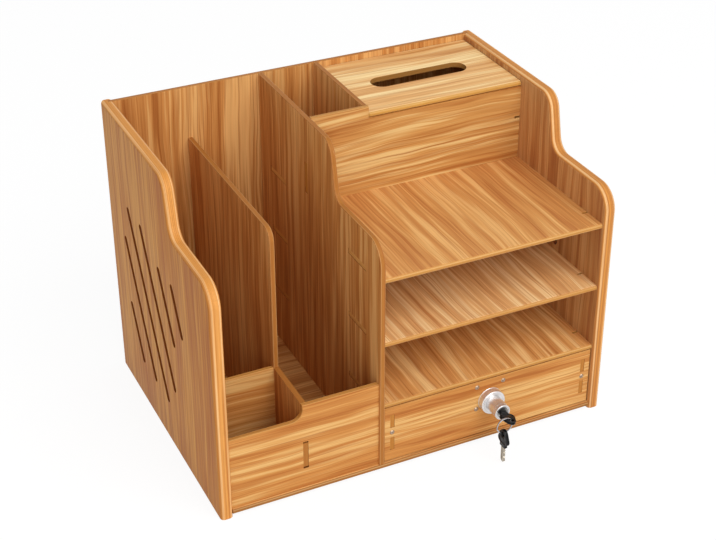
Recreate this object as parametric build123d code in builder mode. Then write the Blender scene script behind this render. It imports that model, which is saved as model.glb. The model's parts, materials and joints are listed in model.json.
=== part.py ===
"""Desk organizer with a locking drawer, built up from flat boards with tenon joints.

Frame: millimetres, +Z up, +X to the right, the front faces -Y.
The origin is on the desk, in the middle of the space that the organizer and its keys take.
"""
from build123d import *
import os
from math import atan, cos, degrees, hypot, radians, sin, sqrt, tan

os.makedirs("parts", exist_ok=True)

# Case: outer size of the two side panels and what stands between them
width = 480
depth = 335
height = 357
step_height = 292
side_thickness = 14
board = 6
back_board = 5
file_bay = 85
foot = 3

# Outline of the side panels: where the slope between the two levels starts and ends
slope_foot = 113
slope_head = 127
front_corner = 28
slope_foot_radius = 18
slope_head_radius = 22
bullnose = 4.5

# Set-backs from the front and back ends of the side panels
face_setback = 4
divider_setback = 1
back_setback = 2.5

# Heights inside the case
drawer_bay = 74
shelf_pitch = 80.5
rail_low = 99.5
rail_high = 118.5
rail_rise_radius = 13

# File divider: its high rear part starts behind the pen and marker bay
marker_bay = 78
file_divider_corner = 15

# Riser, pen bay and tissue bay on the top shelf
riser_face = 188
pen_bay = 65
lid_thickness = 6
lid_drop = 8
lid_gap = 0.3
lid_side_gap = 0.6
lid_slot_length = 125
lid_slot_width = 28
lid_support_height = 12

# Joints between boards
tenon_depth = 6
tenon_gap = 0.15
tenon_recess = 0.3
shelf_tenon = 44
shelf_tenon_inset = 32
bottom_tenon = 50
bottom_tenon_front = 74
bottom_tenon_rear = 94
rail_tenon = 40
marker_tenon = 50
file_tenon = 31.5
file_tenon_rise = 33.5
riser_tenon = 38
riser_tenon_rise = 14
end_notch = 2.2
corner_relief_length = 7
corner_relief_width = 2.4
edge_round = 1.2
shelf_edge_round = 2.4
round_share = 0.4

# Slanted vent slots in both side panels, from front to back: lower and upper end of each
slot_width = 9
slot_pitch = 42.7
first_slot_foot = 3
slot_slope = 27
slot_ends = [(177, 232), (150, 231), (84, 255.5), (53, 256), (54, 209), (54, 121)]

# Drawer
drawer_side_board = 5
drawer_bottom_board = 3
drawer_gap = 0.8
drawer_lift = 0.3
drawer_side_inset = 7.6
drawer_side_height = 67
drawer_back_clearance = 3
drawer_bottom_rise = 5
groove_depth = 2.5
drawer_tenon = 17
drawer_tenon_pitch = 30.6
drawer_tenon_height = 39
drawer_back_tenon = 30
wood_screw_length = 20
lock_screw_length = 10
screw_hole_spare = 1

# Lock: a square body behind the drawer front, with its barrel through the front
case_clearance = 2.6
barrel_drop = 5.4
barrel_radius = 9.5
barrel_reach = 30
barrel_rim = 0.9
plate_width = 44
plate_height = 40
plate_thickness = 2
plate_corner = 3
case_width = 27
case_wall = 1.2
bolt_thickness = 5
bolt_tongue = 16
bolt_shoulder = 8
bolt_throw = 7
strike_gap = 0.7
bolt_tip_chamfer = 1
key_turn = 90
pin_radius = 1.8
plug_radius = 6.42
plug_gap = 0.08
plug_recess = 0.4
plug_disc_radius = 8
plug_disc = 1.7
lock_play = 0.3
collar_radius = 15
collar_depth = 9.5
collar_rim = 1.3
screw_pitch_x = 34
screw_pitch_z = 30
screw_head_radius = 2.8
screw_head_height = 1.5
screw_head_chamfer = 0.8
screw_radius = 1.5
screw_tip_chamfer = 0.7
screw_sides = 12
screw_gap = 0.1

# Keys: how far the bow in the lock leans from level, and the shape of both bows
key_angle = 20
bow_length = 22.5
bow_thickness = 4.4
bow_edge_chamfer = 0.6
bow_hole_radius = 3.3
bow_hole_edge = 5.6
bow_flare_radius = 4.3
bow_flare_depth = 1.2
bow_end_radius = 6.4
bow_lobe_radius = 5.2
bow_lobe_pitch = 8.6
bow_lobe_drop = 9.3
bow_neck_width = 10
blade_length = 21
blade_width = 7
blade_thickness = 2
blade_tip_chamfer = 2.1
blade_cut_depths = [0.7, 1.3, 0.7, 1.3, 0.7]
blade_cut_width = 2.9
blade_cut_pitch = 3.2
blade_first_cut = 5.1
tang_length = 10
keyway_gap = 0.15
keyway_spare = 1
key_gap = 0.3
ring_radius = 9.5
ring_wire = 0.75
ring_wire_sides = 8
ring_gap = 0.3

# Key places along Y: the ring hangs in front of the barrel, and the origin's place follows
ring_reach = barrel_reach + key_gap + bow_length - bow_hole_edge - face_setback
bow_width = bow_lobe_pitch + 2 * bow_lobe_radius
front = (ring_reach + bow_width / 2 - depth) / 2
back = front + depth
face = front + face_setback
divider_front = front + divider_setback
back_panel_front = back - back_setback - back_board
ring_y = front - ring_reach

# Places along X
left = -width / 2
right = width / 2
left_inner = left + side_thickness
right_inner = right - side_thickness
file_divider_left = left_inner + file_bay
file_divider_right = file_divider_left + board
centre_divider_left = file_divider_right + file_bay
centre_divider_right = centre_divider_left + board
pen_bay_right = centre_divider_right + pen_bay
tissue_bay_left = pen_bay_right + board
lock_x = (centre_divider_right + right_inner) / 2

# Places along Z
floor_top = foot + board
lower_shelf_z = floor_top + drawer_bay
shelf_heights = {
    "lower_shelf": lower_shelf_z,
    "middle_shelf": lower_shelf_z + shelf_pitch,
    "top_shelf": lower_shelf_z + 2 * shelf_pitch,
}
desk_top = shelf_heights["top_shelf"] + board
lid_top = height - lid_drop
lid_bottom = lid_top - lid_thickness

# Places along Y of the boards that stand across the case
marker_panel_front = face + marker_bay
riser_front = front + riser_face
riser_back = riser_front + board
rail_back = face + board

# Shelf tenons: one near the front and one near the back, both of the same width
shelf_tenons = [
    face + shelf_tenon_inset + shelf_tenon / 2,
    back_panel_front - shelf_tenon_inset - shelf_tenon / 2,
]


def cuboid(x, y, z, mode=Mode.ADD):
    """A box between two corners, each span given as (low, high)."""
    with Locations((x[0], y[0], z[0])):
        Box(x[1] - x[0], y[1] - y[0], z[1] - z[0], align=(Align.MIN,) * 3, mode=mode)


def rectangle(u, v, mode=Mode.ADD):
    """A rectangle between two corners of a sketch, each span given as (low, high)."""
    with Locations(((u[0] + u[1]) / 2, (v[0] + v[1]) / 2)):
        Rectangle(u[1] - u[0], v[1] - v[0], mode=mode)


def span(centre, size, extra=0.0):
    """The low and high end of a size about its centre, with an equal allowance at each end."""
    return (centre - size / 2 - extra, centre + size / 2 + extra)


def rounding(radius, thickness):
    """An edge radius, held to a share of its board's thickness so that two never meet."""
    return min(radius, thickness * round_share)


def rims_above(piece, axis, level):
    """The edges of a board's two broad faces that lie above a level."""
    rims = piece.faces().filter_by(axis).edges()
    return rims.filter_by(lambda edge: edge.center().Z > level)


def save(builder, name):
    """Label a finished piece and write it to its own file."""
    builder.part.label = name
    export_step(builder.part, f"parts/{name}.step")


def stepped_outline(outline_front, bottom, outline_back):
    """The side panels' outline in Y and Z: a low level, an S curved slope and a high level."""
    with BuildSketch(mode=Mode.PRIVATE) as outline:
        with BuildLine():
            Polyline(
                (outline_front, bottom),
                (outline_back, bottom),
                (outline_back, height),
                (front + slope_head, height),
                (front + slope_foot, step_height),
                (outline_front, step_height),
                close=True,
            )
        make_face()
        rounded = [
            ((front + slope_head, height), slope_head_radius),
            ((front + slope_foot, step_height), slope_foot_radius),
            ((outline_front, step_height), front_corner),
        ]
        for corner, radius in rounded:
            fillet(outline.vertices().sort_by_distance(corner)[0], radius)
    return outline.sketch


# Tenon places that two or more boards share
bottom_tenons = [front + bottom_tenon_front, back - bottom_tenon_rear]
rail_tenon_z = span((floor_top + rail_low) / 2, rail_tenon)
marker_tenon_z = span((floor_top + rail_high) / 2, marker_tenon)
file_tenon_z = (foot + file_tenon_rise, foot + file_tenon_rise + file_tenon)
riser_tenon_z = (desk_top + riser_tenon_rise, desk_top + riser_tenon_rise + riser_tenon)


# Side panels: stepped profile with a bullnose all round, vent slots and blind mortises
def side_panel(outer, inward):
    """A side panel whose outer face is at x = outer, growing inward (+1 or -1 along X)."""
    inner = outer + inward * side_thickness
    mortise_end = inner - inward * (tenon_depth + tenon_gap)
    x_mortise = sorted((inner, mortise_end))
    with BuildPart() as panel:
        with BuildSketch(Plane.YZ.offset(min(outer, inner))):
            add(stepped_outline(front, 0, back))
        extrude(amount=side_thickness)
        fillet(rims_above(panel, Axis.X, foot), rounding(bullnose, side_thickness))
        with BuildSketch(Plane.YZ.offset(min(outer, inner))):
            for index, (low, high) in enumerate(slot_ends):
                foot_y = front + first_slot_foot + index * slot_pitch
                mid_z = (low + high) / 2
                mid_y = foot_y + mid_z * tan(radians(slot_slope))
                slot_length = (high - low) / cos(radians(slot_slope))
                with Locations(Location((mid_y, mid_z), 90 - slot_slope)):
                    SlotOverall(slot_length, slot_width)
        extrude(amount=side_thickness, mode=Mode.SUBTRACT)
        groove_y = (back_panel_front - tenon_gap, back_panel_front + back_board + tenon_gap)
        cuboid(x_mortise, groove_y, (foot - tenon_gap, height), mode=Mode.SUBTRACT)
        for y in bottom_tenons:
            z = (foot - tenon_gap, floor_top + tenon_gap)
            cuboid(x_mortise, span(y, bottom_tenon, tenon_gap), z, mode=Mode.SUBTRACT)
        if inward > 0:
            rail_y = (face - tenon_gap, rail_back + tenon_gap)
            rail_z = (rail_tenon_z[0] - tenon_gap, rail_tenon_z[1] + tenon_gap)
            cuboid(x_mortise, rail_y, rail_z, mode=Mode.SUBTRACT)
            marker_y = (marker_panel_front - tenon_gap, marker_panel_front + board + tenon_gap)
            marker_z = (marker_tenon_z[0] - tenon_gap, marker_tenon_z[1] + tenon_gap)
            cuboid(x_mortise, marker_y, marker_z, mode=Mode.SUBTRACT)
        else:
            for shelf_z in shelf_heights.values():
                for y in shelf_tenons:
                    z = (shelf_z - tenon_gap, shelf_z + board + tenon_gap)
                    cuboid(x_mortise, span(y, shelf_tenon, tenon_gap), z, mode=Mode.SUBTRACT)
            riser_y = (riser_front - tenon_gap, riser_back + tenon_gap)
            riser_z = (riser_tenon_z[0] - tenon_gap, riser_tenon_z[1] + tenon_gap)
            cuboid(x_mortise, riser_y, riser_z, mode=Mode.SUBTRACT)
    return panel


save(side_panel(left, 1), "left_side_panel")
save(side_panel(right, -1), "right_side_panel")

# Back panel, held in the grooves of the side panels
with BuildPart() as back_panel:
    with BuildSketch(Plane.XZ.offset(-back_panel_front - back_board)):
        rectangle((left_inner - tenon_depth, right_inner + tenon_depth), (foot, height))
    extrude(amount=back_board)
    top_edges = back_panel.edges().filter_by(Axis.X).group_by(Axis.Z)[-1]
    fillet(top_edges, rounding(edge_round, back_board))
save(back_panel, "back_panel")

# Bottom board, with tenons into the side panels and mortises for both dividers
with BuildPart() as bottom_board:
    with BuildSketch(Plane.XY.offset(foot)):
        rectangle((left_inner, right_inner), (divider_front, back_panel_front))
        for y in bottom_tenons:
            rectangle((left_inner - tenon_depth, right_inner + tenon_depth), span(y, bottom_tenon))
        for divider_left in (file_divider_left, centre_divider_left):
            for y in bottom_tenons:
                mortise_x = (divider_left - tenon_gap, divider_left + board + tenon_gap)
                rectangle(mortise_x, span(y, bottom_tenon, tenon_gap), mode=Mode.SUBTRACT)
    extrude(amount=board)
    front_edges = bottom_board.edges().filter_by(Axis.X).group_by(Axis.Y)[0]
    fillet(front_edges, rounding(shelf_edge_round, board))
save(bottom_board, "bottom_board")

# Centre divider: the side panels' profile again, with through mortises for what it carries
with BuildPart() as centre_divider:
    with BuildSketch(Plane.YZ.offset(centre_divider_left)):
        add(stepped_outline(divider_front, floor_top, back_panel_front))
        for y in bottom_tenons:
            rectangle(span(y, bottom_tenon), (foot, floor_top))
    extrude(amount=board)
    free_rims = rims_above(centre_divider, Axis.X, floor_top + tenon_gap)
    fillet(free_rims, rounding(edge_round, board))
    x_through = (centre_divider_left, centre_divider_right)
    for shelf_z in shelf_heights.values():
        for y in shelf_tenons:
            z = (shelf_z - tenon_gap, shelf_z + board + tenon_gap)
            cuboid(x_through, span(y, shelf_tenon, tenon_gap), z, mode=Mode.SUBTRACT)
    for y_low, z_span in ((riser_front, riser_tenon_z), (face, rail_tenon_z)):
        y = (y_low - tenon_gap, y_low + board + tenon_gap)
        z = (z_span[0] - tenon_gap, z_span[1] + tenon_gap)
        cuboid(x_through, y, z, mode=Mode.SUBTRACT)
save(centre_divider, "centre_divider")

# File divider: low beside the markers, high between the files, with a tenon through the rail
with BuildPart() as file_divider:
    with BuildSketch(Plane.YZ.offset(file_divider_left)):
        with BuildLine():
            Polyline(
                (rail_back, floor_top),
                (back_panel_front, floor_top),
                (back_panel_front, step_height),
                (marker_panel_front, step_height),
                (marker_panel_front, rail_high),
                (rail_back, rail_high),
                close=True,
            )
        make_face()
        crown = vertices().sort_by_distance((marker_panel_front, step_height))[0]
        fillet(crown, file_divider_corner)
        rectangle((face + tenon_recess, rail_back), file_tenon_z)
        for y in bottom_tenons:
            rectangle(span(y, bottom_tenon), (foot, floor_top))
    extrude(amount=board)
    free_rims = rims_above(file_divider, Axis.X, rail_high + tenon_gap)
    fillet(free_rims, rounding(edge_round, board))
    marker_y = (marker_panel_front - tenon_gap, marker_panel_front + board + tenon_gap)
    marker_z = (marker_tenon_z[0] - tenon_gap, marker_tenon_z[1] + tenon_gap)
    cuboid((file_divider_left, file_divider_right), marker_y, marker_z, mode=Mode.SUBTRACT)
save(file_divider, "file_divider")

# Panel behind the marker bay
with BuildPart() as marker_bay_panel:
    with BuildSketch(Plane.XZ.offset(-marker_panel_front - board)):
        rectangle((left_inner, file_divider_left), (floor_top, rail_high))
        rectangle((left_inner - tenon_depth, file_divider_right - tenon_recess), marker_tenon_z)
    extrude(amount=board)
    top_edges = marker_bay_panel.edges().filter_by(Axis.X).group_by(Axis.Z)[-1]
    fillet(top_edges, rounding(edge_round, board))
save(marker_bay_panel, "marker_bay_panel")

# Front rail: low in front of the markers, with a hollow curve up to the file bay's level
with BuildPart() as front_rail:
    with BuildSketch(Plane.XZ.offset(-rail_back)):
        rise_x = file_divider_left
        with BuildLine():
            Polyline(
                (left_inner, floor_top),
                (centre_divider_left, floor_top),
                (centre_divider_left, rail_high),
                (rise_x, rail_high),
                (rise_x, rail_low),
                (left_inner, rail_low),
                close=True,
            )
        make_face()
        fillet(vertices().sort_by_distance((rise_x, rail_low))[0], rail_rise_radius)
        rectangle((left_inner - tenon_depth, centre_divider_right - tenon_recess), rail_tenon_z)
        file_x = (file_divider_left - tenon_gap, file_divider_right + tenon_gap)
        file_z = (file_tenon_z[0] - end_notch, file_tenon_z[1] + end_notch)
        rectangle(file_x, file_z, mode=Mode.SUBTRACT)
    extrude(amount=board)
    free_rims = rims_above(front_rail, Axis.Y, rail_low - tenon_gap)
    fillet(free_rims, rounding(edge_round, board))
save(front_rail, "front_rail")


# Shelves: tenons at both ends, each with a relief cut at its front corner
def shelf(shelf_z):
    with BuildPart() as plate:
        with BuildSketch(Plane.XY.offset(shelf_z)):
            rectangle((centre_divider_right, right_inner), (face, back_panel_front))
            for y in shelf_tenons:
                tenon_x = (centre_divider_left + tenon_recess, right_inner + tenon_depth)
                rectangle(tenon_x, span(y, shelf_tenon))
                relief_y = y - shelf_tenon / 2
                relief = (relief_y - corner_relief_width, relief_y)
                relief_x = (right_inner - corner_relief_length, right_inner)
                rectangle(relief_x, relief, mode=Mode.SUBTRACT)
                relief_x = (centre_divider_right, centre_divider_right + corner_relief_length)
                rectangle(relief_x, relief, mode=Mode.SUBTRACT)
        extrude(amount=board)
        front_edges = plate.edges().filter_by(Axis.X).group_by(Axis.Y)[0]
        fillet(front_edges, rounding(shelf_edge_round, board))
    return plate


# The lock's stack along Y, from the drawer's face backwards
plate_front = face + board
plate_back = plate_front + plate_thickness
disc_front = plate_back + lock_play
disc_back = disc_front + plug_disc
bolt_front = disc_back + lock_play
bolt_back = bolt_front + bolt_thickness
cover_front = bolt_back + lock_play
pin_reach = bolt_throw / (2 * sin(radians(key_turn / 2)))
case_top = lower_shelf_z - case_clearance
case_bottom = case_top - plate_height
plate_centre = (case_bottom + case_top) / 2
lock_height = plate_centre - barrel_drop
bolt_up = case_top - lock_play + bolt_throw

for name, shelf_z in shelf_heights.items():
    made = shelf(shelf_z)
    if name == "lower_shelf":
        with made:
            strike_x = span(lock_x, bolt_tongue, 2 * lock_play)
            strike_y = (bolt_front - 2 * lock_play, bolt_back + 2 * lock_play)
            cuboid(strike_x, strike_y, (shelf_z, bolt_up + strike_gap), mode=Mode.SUBTRACT)
    save(made, name)

# Riser: full height in front of the pen bay, rebated for the lid in front of the tissue bay
with BuildPart() as riser_panel:
    with BuildSketch(Plane.XZ.offset(-riser_back)):
        rectangle((centre_divider_right, right_inner), (desk_top, lid_bottom - lid_gap))
        rectangle((centre_divider_right, tissue_bay_left), (desk_top, height))
        tenon_x = (centre_divider_left + tenon_recess, right_inner + tenon_depth)
        rectangle(tenon_x, riser_tenon_z)
        relief_x = (right_inner - corner_relief_length, right_inner)
        relief_z = (riser_tenon_z[1], riser_tenon_z[1] + corner_relief_width)
        rectangle(relief_x, relief_z, mode=Mode.SUBTRACT)
    extrude(amount=board)
    top_edges = riser_panel.edges().filter_by(Axis.X).group_by(Axis.Z)[-1]
    fillet(top_edges, rounding(edge_round, board))
save(riser_panel, "riser_panel")

# Partition between the pen bay and the tissue bay
with BuildPart() as pen_bay_partition:
    with BuildSketch(Plane.YZ.offset(pen_bay_right)):
        rectangle((riser_back, back_panel_front), (desk_top, height))
    extrude(amount=board)
    top_edges = pen_bay_partition.edges().filter_by(Axis.Y).group_by(Axis.Z)[-1]
    fillet(top_edges, rounding(edge_round, board))
save(pen_bay_partition, "pen_bay_partition")

# Strip glued to the back panel, on which the lid's rear edge rests
with BuildPart() as lid_support:
    strip_z = (lid_bottom - lid_gap - lid_support_height, lid_bottom - lid_gap)
    cuboid((tissue_bay_left, right_inner), (back_panel_front - board, back_panel_front), strip_z)
save(lid_support, "lid_support")

# Tissue lid: lifts off, with a round-ended slot
with BuildPart() as tissue_lid:
    lid_x = (tissue_bay_left + lid_side_gap, right_inner - lid_side_gap)
    lid_y = (riser_front, back_panel_front - lid_side_gap)
    with BuildSketch(Plane.XY.offset(lid_bottom)):
        rectangle(lid_x, lid_y)
        with Locations((sum(lid_x) / 2, sum(lid_y) / 2)):
            SlotOverall(lid_slot_length, lid_slot_width, mode=Mode.SUBTRACT)
    extrude(amount=lid_thickness)
    lid_front = tissue_lid.edges().filter_by(Axis.X).group_by(Axis.Y)[0]
    fillet(lid_front, rounding(shelf_edge_round, lid_thickness))
save(tissue_lid, "tissue_lid")

# Drawer: front with through mortises, sides, back and a bottom held in grooves
drawer_x = (centre_divider_right + drawer_gap, right_inner - drawer_gap)
drawer_z = (floor_top + drawer_gap, lower_shelf_z - drawer_gap)
side_bottom = floor_top + drawer_lift
side_z = (side_bottom, side_bottom + drawer_side_height)
left_side_outer = drawer_x[0] + drawer_side_inset
right_side_outer = drawer_x[1] - drawer_side_inset
left_side_x = (left_side_outer, left_side_outer + drawer_side_board)
right_side_x = (right_side_outer - drawer_side_board, right_side_outer)
drawer_screw_z = floor_top + drawer_tenon_height
side_tenons_z = [drawer_screw_z + side * drawer_tenon_pitch / 2 for side in (-1, 1)]
groove_bottom = floor_top + drawer_bottom_rise
groove_z = (groove_bottom, groove_bottom + drawer_bottom_board)
drawer_back_y = back_panel_front - drawer_back_clearance
drawer_back_front = drawer_back_y - 2 * drawer_side_board
back_tenon_z = span((groove_z[1] + side_z[1]) / 2, drawer_back_tenon)
lock_screws_at = [
    (lock_x + step_x * screw_pitch_x / 2, plate_centre + step_z * screw_pitch_z / 2)
    for step_x in (-1, 1)
    for step_z in (-1, 1)
]

with BuildPart() as drawer_front:
    with BuildSketch(Plane.XZ.offset(-face - board)):
        rectangle(drawer_x, drawer_z)
        for side_x in (left_side_x, right_side_x):
            for z in side_tenons_z:
                mortise_x = (side_x[0] - tenon_gap, side_x[1] + tenon_gap)
                rectangle(mortise_x, span(z, drawer_tenon, tenon_gap), mode=Mode.SUBTRACT)
            with Locations((sum(side_x) / 2, drawer_screw_z)):
                Circle(screw_radius + screw_gap, mode=Mode.SUBTRACT)
        with Locations((lock_x, lock_height)):
            Circle(barrel_radius + screw_gap, mode=Mode.SUBTRACT)
        with Locations(*lock_screws_at):
            Circle(screw_radius + screw_gap, mode=Mode.SUBTRACT)
    extrude(amount=board)
    outer_rim = drawer_front.faces().sort_by(Axis.Y)[0].outer_wire().edges()
    fillet(outer_rim, rounding(edge_round, board))
    groove_y = (plate_front - groove_depth, plate_front)
    cuboid((left_side_outer, right_side_outer), groove_y, groove_z, mode=Mode.SUBTRACT)
save(drawer_front, "drawer_front")


def drawer_side(side_x, inward):
    """A drawer side with its two front tenons, its inner face towards +X or -X (inward is 1 or -1)."""
    inner_x = side_x[1] if inward > 0 else side_x[0]
    with BuildPart() as side:
        with BuildSketch(Plane.YZ.offset(side_x[0])):
            rectangle((plate_front, drawer_back_y), side_z)
            for z in side_tenons_z:
                rectangle((face + tenon_recess, plate_front), span(z, drawer_tenon))
        extrude(amount=drawer_side_board)
        top_edges = side.edges().filter_by(Axis.Y).group_by(Axis.Z)[-1]
        fillet(top_edges, rounding(edge_round, drawer_side_board))
        groove_x = sorted((inner_x, inner_x - inward * groove_depth))
        cuboid(groove_x, (plate_front, drawer_back_y), groove_z, mode=Mode.SUBTRACT)
        mortise_y = (drawer_back_front - tenon_gap, drawer_back_front + drawer_side_board + tenon_gap)
        mortise_z = (back_tenon_z[0] - tenon_gap, back_tenon_z[1] + tenon_gap)
        cuboid(side_x, mortise_y, mortise_z, mode=Mode.SUBTRACT)
        with Locations(Plane((sum(side_x) / 2, plate_front, drawer_screw_z), z_dir=(0, -1, 0))):
            Hole(screw_radius + screw_gap, depth=wood_screw_length - board + screw_hole_spare)
    return side


save(drawer_side(left_side_x, 1), "drawer_left_side")
save(drawer_side(right_side_x, -1), "drawer_right_side")

with BuildPart() as drawer_back:
    with BuildSketch(Plane.XZ.offset(-drawer_back_front - drawer_side_board)):
        rectangle((left_side_x[1], right_side_x[0]), (groove_z[1], side_z[1]))
        rectangle((left_side_x[0] + tenon_recess, right_side_x[1] - tenon_recess), back_tenon_z)
    extrude(amount=drawer_side_board)
save(drawer_back, "drawer_back")

with BuildPart() as drawer_bottom:
    groove_rest = groove_depth - tenon_recess
    bottom_x = (left_side_x[1] - groove_rest, right_side_x[0] + groove_rest)
    bottom_y = (plate_front - groove_rest, drawer_back_y)
    cuboid(bottom_x, bottom_y, (groove_z[0] + tenon_gap, groove_z[1]))
save(drawer_bottom, "drawer_bottom")


def screws(places, length, name):
    """Pan head screws set in the drawer's face, with their points to the back."""
    with BuildPart() as group:
        for x, z in places:
            outward = Plane((x, face, z), x_dir=(1, 0, 0), z_dir=(0, -1, 0))
            with BuildSketch(outward):
                RegularPolygon(screw_head_radius, screw_sides)
            extrude(amount=screw_head_height)
            with BuildSketch(outward):
                RegularPolygon(screw_radius, screw_sides)
            extrude(amount=-length)
        head_tops = group.faces().group_by(Axis.Y)[0]
        chamfer(head_tops.edges(), screw_head_chamfer)
        tips = group.faces().group_by(Axis.Y)[-1]
        chamfer(tips.edges(), screw_tip_chamfer)
    save(group, name)


drawer_screws_at = [(sum(side_x) / 2, drawer_screw_z) for side_x in (left_side_x, right_side_x)]
screws(drawer_screws_at, wood_screw_length, "drawer_screws")
screws(lock_screws_at, lock_screw_length, "lock_screws")

# Lock body: square plate with a rim for the bolt behind it and the barrel in front
lock_axis = Plane((lock_x, face, lock_height), x_dir=(1, 0, 0), z_dir=(0, -1, 0))
with BuildPart() as lock_body:
    with BuildSketch(Plane.XZ.offset(-plate_back)):
        rectangle(span(lock_x, plate_width), (case_bottom, case_top))
        fillet(vertices(), plate_corner)
        with Locations(*lock_screws_at):
            Circle(screw_radius + screw_gap, mode=Mode.SUBTRACT)
    extrude(amount=plate_thickness)
    with BuildSketch(Plane.XZ.offset(-cover_front)):
        rectangle(span(lock_x, case_width), (case_bottom, case_top))
        hollow_x = span(lock_x, case_width - 2 * case_wall)
        rectangle(hollow_x, (case_bottom + case_wall, case_top - case_wall), mode=Mode.SUBTRACT)
    extrude(amount=cover_front - plate_back)
    tongue_x = span(lock_x, bolt_tongue, lock_play)
    tongue_y = (bolt_front - lock_play, cover_front)
    cuboid(tongue_x, tongue_y, (case_top - case_wall, case_top), mode=Mode.SUBTRACT)
    with BuildSketch(lock_axis.offset(-board)):
        Circle(barrel_radius)
    extrude(amount=barrel_reach + board)
    rim = lock_body.faces().sort_by(Axis.Y)[0].outer_wire().edges()
    chamfer(rim, barrel_rim)
    with Locations(lock_axis.offset(barrel_reach)):
        bore_radius = plug_radius + plug_gap
        Hole(bore_radius, depth=barrel_reach + board + plate_thickness)
save(lock_body, "lock_body")

# Cover that closes the lock body behind the bolt
with BuildPart() as lock_cover:
    with BuildSketch(Plane.XZ.offset(-cover_front - case_wall)):
        rectangle(span(lock_x, case_width), (case_bottom, case_top))
    extrude(amount=case_wall)
save(lock_cover, "lock_cover")

# Collar round the barrel, on the drawer's face
with BuildPart() as lock_collar:
    with BuildSketch(Plane((lock_x, face, lock_height), x_dir=(1, 0, 0), z_dir=(0, 0, 1))):
        inner_radius = barrel_radius + screw_gap
        with BuildLine():
            Polyline(
                (inner_radius, 0),
                (collar_radius, 0),
                (collar_radius, -collar_depth),
                (inner_radius, -collar_depth),
                close=True,
            )
        make_face()
        outer_corner = vertices().sort_by_distance((collar_radius, -collar_depth))[0]
        chamfer(outer_corner, collar_rim)
    revolve(axis=Axis((lock_x, face, lock_height), (0, 1, 0)))
save(lock_collar, "lock_collar")

# Key planes: local X runs across the bow, local Y from the bow to the blade's tip
lean_cos = cos(radians(key_angle))
lean_sin = sin(radians(key_angle))
shoulder_y = face - barrel_reach - key_gap
key_plane = Plane(
    (lock_x, shoulder_y, lock_height),
    x_dir=(lean_cos, 0, -lean_sin),
    z_dir=(lean_sin, 0, lean_cos),
)


def leaned(across, up):
    """X and Z from the lock's axis of a point of the leaning bow, given across and above it."""
    return (across * lean_cos + up * lean_sin, up * lean_cos - across * lean_sin)


def hanging_ring():
    """X and Z of the ring's centre: inside it the hole's upper left rim, outside it the lower right."""
    inner_x, inner_z = leaned(-bow_flare_radius, bow_thickness / 2)
    outer_x, outer_z = leaned(bow_hole_radius, bow_flare_depth - bow_thickness / 2)
    inner_reach = ring_radius - ring_wire - ring_gap
    outer_reach = ring_radius + ring_wire + ring_gap
    apart = hypot(outer_x - inner_x, outer_z - inner_z)
    along = (inner_reach**2 - outer_reach**2 + apart**2) / (2 * apart)
    aside = sqrt(inner_reach**2 - along**2)
    unit_x, unit_z = ((outer_x - inner_x) / apart, (outer_z - inner_z) / apart)
    return (lock_x + inner_x + along * unit_x + aside * unit_z,
            lock_height + inner_z + along * unit_z - aside * unit_x)


ring_x, ring_z = hanging_ring()
spare_hole_z = ring_z - ring_radius + ring_wire + ring_gap - bow_hole_radius
spare_shoulder_z = spare_hole_z - bow_length + bow_hole_edge
spare_plane = Plane((ring_x, ring_y, spare_shoulder_z), x_dir=(0, -1, 0), z_dir=(1, 0, 0))

# Plug: turns in the barrel, with the keyway in front and the eccentric pin behind
plug_front = face - barrel_reach + plug_recess
pin_x = lock_x + pin_reach * cos(radians(key_turn / 2))
pin_z = lock_height - pin_reach * sin(radians(key_turn / 2))
with BuildPart() as lock_plug:
    with BuildSketch(Plane((lock_x, plug_front, lock_height), x_dir=(1, 0, 0), z_dir=(0, 1, 0))):
        Circle(plug_radius)
    extrude(amount=disc_front - plug_front)
    with BuildSketch(Plane((lock_x, disc_front, lock_height), x_dir=(1, 0, 0), z_dir=(0, 1, 0))):
        Circle(plug_disc_radius)
    extrude(amount=plug_disc)
    with BuildSketch(Plane((pin_x, disc_back, pin_z), x_dir=(1, 0, 0), z_dir=(0, 1, 0))):
        Circle(pin_radius)
    extrude(amount=bolt_thickness)
    with BuildSketch(Plane(key_plane.origin, x_dir=key_plane.x_dir, z_dir=(0, 1, 0))):
        Rectangle(blade_width + 2 * keyway_gap, blade_thickness + 2 * keyway_gap)
    extrude(amount=blade_length + keyway_spare, mode=Mode.SUBTRACT)
save(lock_plug, "lock_plug")

# Bolt: slides up and down, driven by the pin in its level slot
with BuildPart() as lock_bolt:
    body_x = span(lock_x, case_width - 2 * case_wall, -lock_play)
    body_z = (case_bottom + case_wall + lock_play, lock_height + bolt_shoulder)
    with BuildSketch(Plane.XZ.offset(-bolt_back)):
        rectangle(body_x, body_z)
        rectangle(span(lock_x, bolt_tongue), (body_z[0], case_top - lock_play))
        slot_x = (pin_x - pin_radius - lock_play, lock_x + pin_reach + pin_radius + lock_play)
        slot_z = span(pin_z, 2 * pin_radius, lock_play)
        rectangle(slot_x, slot_z, mode=Mode.SUBTRACT)
    extrude(amount=bolt_thickness)
    tip_edges = lock_bolt.edges().filter_by(Axis.X).group_by(Axis.Z)[-1]
    chamfer(tip_edges, bolt_tip_chamfer)
save(lock_bolt, "lock_bolt")


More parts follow.
